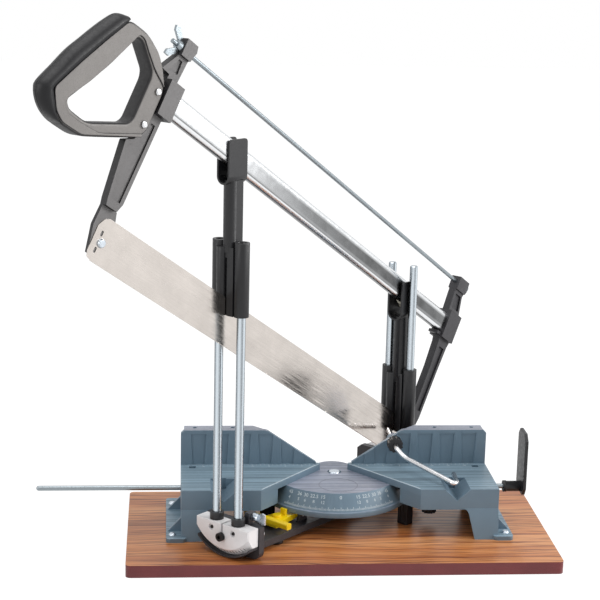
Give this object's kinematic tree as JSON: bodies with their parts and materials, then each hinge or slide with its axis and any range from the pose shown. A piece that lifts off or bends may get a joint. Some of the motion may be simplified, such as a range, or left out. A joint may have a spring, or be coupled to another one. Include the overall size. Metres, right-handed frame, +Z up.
{
  "type": "compound mitre saw",
  "caption": "Hand mitre saw: a tensioned frame saw on guide rods over fenced tables and a scale disc, with swinging arm, bevel quadrants, length stop and hold-down.",
  "frame": {"origin": "underside of the board, straight below the mitre pivot", "axes": "+Z up, +X along the fence to the user's right, the user stands at -Y"},
  "size_m": [0.608, 0.5273, 0.6312],
  "materials": {
    "base_board": "satin laminate",
    "left_table": "blue-grey paint on a light alloy casting",
    "right_table": "blue-grey paint on a light alloy casting",
    "left_fence": "blue-grey paint on a light alloy casting",
    "right_fence": "blue-grey paint on a light alloy casting",
    "scale_disc": "blue-grey paint on a light alloy casting",
    "swing_stops": "black",
    "foot_screws": "zinc",
    "pivot_bolt": "bright zinc",
    "stop_screw": "black",
    "stop_rod": "bright",
    "stop_hub": "black",
    "stop_flag": "black",
    "clamp_knob": "black",
    "clamp_rod": "chromed",
    "swing_arm": "dark paint on a casting",
    "arm_feet": "black",
    "front_plate": "dark paint on a casting",
    "rear_plate": "dark paint on a casting",
    "plate_screws": "zinc",
    "index_lever": "yellow",
    "lever_pin": "bright",
    "bevel_screw": "zinc",
    "front_quadrant": "silver casting",
    "rear_quadrant": "silver casting",
    "front_rods": "zinc plated",
    "rear_rods": "zinc plated",
    "rod_collars": "black",
    "bevel_bolts": "zinc",
    "quadrant_screws": "black oxide",
    "rear_guide": "black",
    "front_guide": "black",
    "bar_shoe": "natural nylon",
    "saw_bar": "polished tube",
    "near_arm": "grey paint on a casting",
    "far_arm": "dark paint on a casting",
    "blade": "bright",
    "blade_bolts": "zinc",
    "tension_rod": "zinc plated",
    "wing_nut": "zinc",
    "handle_right": "grey, textured",
    "handle_left": "grey, textured",
    "handle_grip": "black, soft",
    "handle_rivets": "bright"
  },
  "bodies": {
    "base": {"base_board": "base_board", "left_table": "left_table", "right_table": "right_table", "left_fence": "left_fence", "right_fence": "right_fence", "scale_disc": "scale_disc", "swing_stops": "swing_stops", "foot_screws": "foot_screws", "pivot_bolt": "pivot_bolt"},
    "stop_lock": {"stop_screw": "stop_screw"},
    "stop": {"stop_rod": "stop_rod"},
    "flag": {"stop_hub": "stop_hub", "stop_flag": "stop_flag"},
    "clamp": {"clamp_knob": "clamp_knob"},
    "hold_down": {"clamp_rod": "clamp_rod"},
    "mitre_arm": {"swing_arm": "swing_arm", "arm_feet": "arm_feet", "front_plate": "front_plate", "rear_plate": "rear_plate", "plate_screws": "plate_screws", "lever_pin": "lever_pin"},
    "lever": {"index_lever": "index_lever"},
    "bevel_lock": {"bevel_screw": "bevel_screw"},
    "carriage": {"front_quadrant": "front_quadrant", "rear_quadrant": "rear_quadrant", "front_rods": "front_rods", "rear_rods": "rear_rods", "rod_collars": "rod_collars", "bevel_bolts": "bevel_bolts", "quadrant_screws": "quadrant_screws"},
    "rear_slider": {"rear_guide": "rear_guide"},
    "front_slider": {"front_guide": "front_guide"},
    "shoe": {"bar_shoe": "bar_shoe"},
    "saw": {"saw_bar": "saw_bar", "near_arm": "near_arm", "far_arm": "far_arm", "blade": "blade", "blade_bolts": "blade_bolts", "tension_rod": "tension_rod", "handle_right": "handle_right", "handle_left": "handle_left", "handle_grip": "handle_grip", "handle_rivets": "handle_rivets"},
    "tension_nut": {"wing_nut": "wing_nut"}
  },
  "joints": [
    {"name": "mitre_swing", "type": "hinge", "parent": "base", "child": "mitre_arm", "pos_m": [0, 0, 0.067], "axis": [0, 0, 1], "range_deg": [0, 90]},
    {"name": "index_press", "type": "hinge", "parent": "mitre_arm", "child": "lever", "pos_m": [-0.05233, -0.05233, 0.0352], "axis": [-0.7071, 0.7071, 0], "range_deg": [-4, 0], "stiffness_Nm_per_rad": 1, "springref_deg": 5.73},
    {"name": "bevel_lock_turn", "type": "hinge", "parent": "mitre_arm", "child": "bevel_lock", "pos_m": [-0.10182, -0.14425, 0.063], "axis": [-0.7071, 0.7071, 0], "continuous": true},
    {"name": "bevel_lean", "type": "hinge", "parent": "mitre_arm", "child": "carriage", "pos_m": [0, 0, 0.0743], "axis": [-0.7071, -0.7071, 0], "range_deg": [0, 45]},
    {"name": "rear_guide_lift", "type": "slide", "parent": "carriage", "child": "rear_slider", "axis": [0, 0, 1], "range_m": [-0.011, 0.05]},
    {"name": "saw_tilt", "type": "hinge", "parent": "rear_slider", "child": "shoe", "pos_m": [0.09405, 0.09405, 0.25246], "axis": [-0.7071, 0.7071, 0], "range_deg": [-32.5, 0]},
    {"name": "front_guide_lift", "type": "slide", "parent": "rear_slider", "child": "front_slider", "axis": [0, 0, 1], "range_m": [-0.216, 0]},
    {"name": "cut_stroke", "type": "slide", "parent": "shoe", "child": "saw", "axis": [0.5964, 0.5964, -0.5373], "range_m": [0, 0.084]},
    {"name": "wing_nut_turn", "type": "hinge", "parent": "saw", "child": "tension_nut", "pos_m": [-0.19423, -0.19423, 0.59578], "axis": [0.5964, 0.5964, -0.5373], "continuous": true},
    {"name": "stop_slide", "type": "slide", "parent": "base", "child": "stop", "axis": [1, 0, 0], "range_m": [-0.01, 0.3]},
    {"name": "flag_swing", "type": "hinge", "parent": "stop", "child": "flag", "pos_m": [0.217, -0.033, 0.0594], "axis": [1, 0, 0], "range_deg": [-90, 90]},
    {"name": "stop_lock_turn", "type": "hinge", "parent": "base", "child": "stop_lock", "pos_m": [0.113, -0.033, 0.0394], "axis": [0, 0, 1], "continuous": true},
    {"name": "clamp_swing", "type": "hinge", "parent": "base", "child": "clamp", "pos_m": [0.0735, 0.0075, 0.1016], "axis": [0, -1, 0], "range_deg": [0, 75]},
    {"name": "hold_down_slide", "type": "slide", "parent": "clamp", "child": "hold_down", "axis": [0, 1, 0], "range_m": [-0.012, 0.008]}
  ],
  "couplings": [
    {"joint": "front_guide_lift", "follows": "saw_tilt", "m_per_rad": 0.3768}
  ]
}
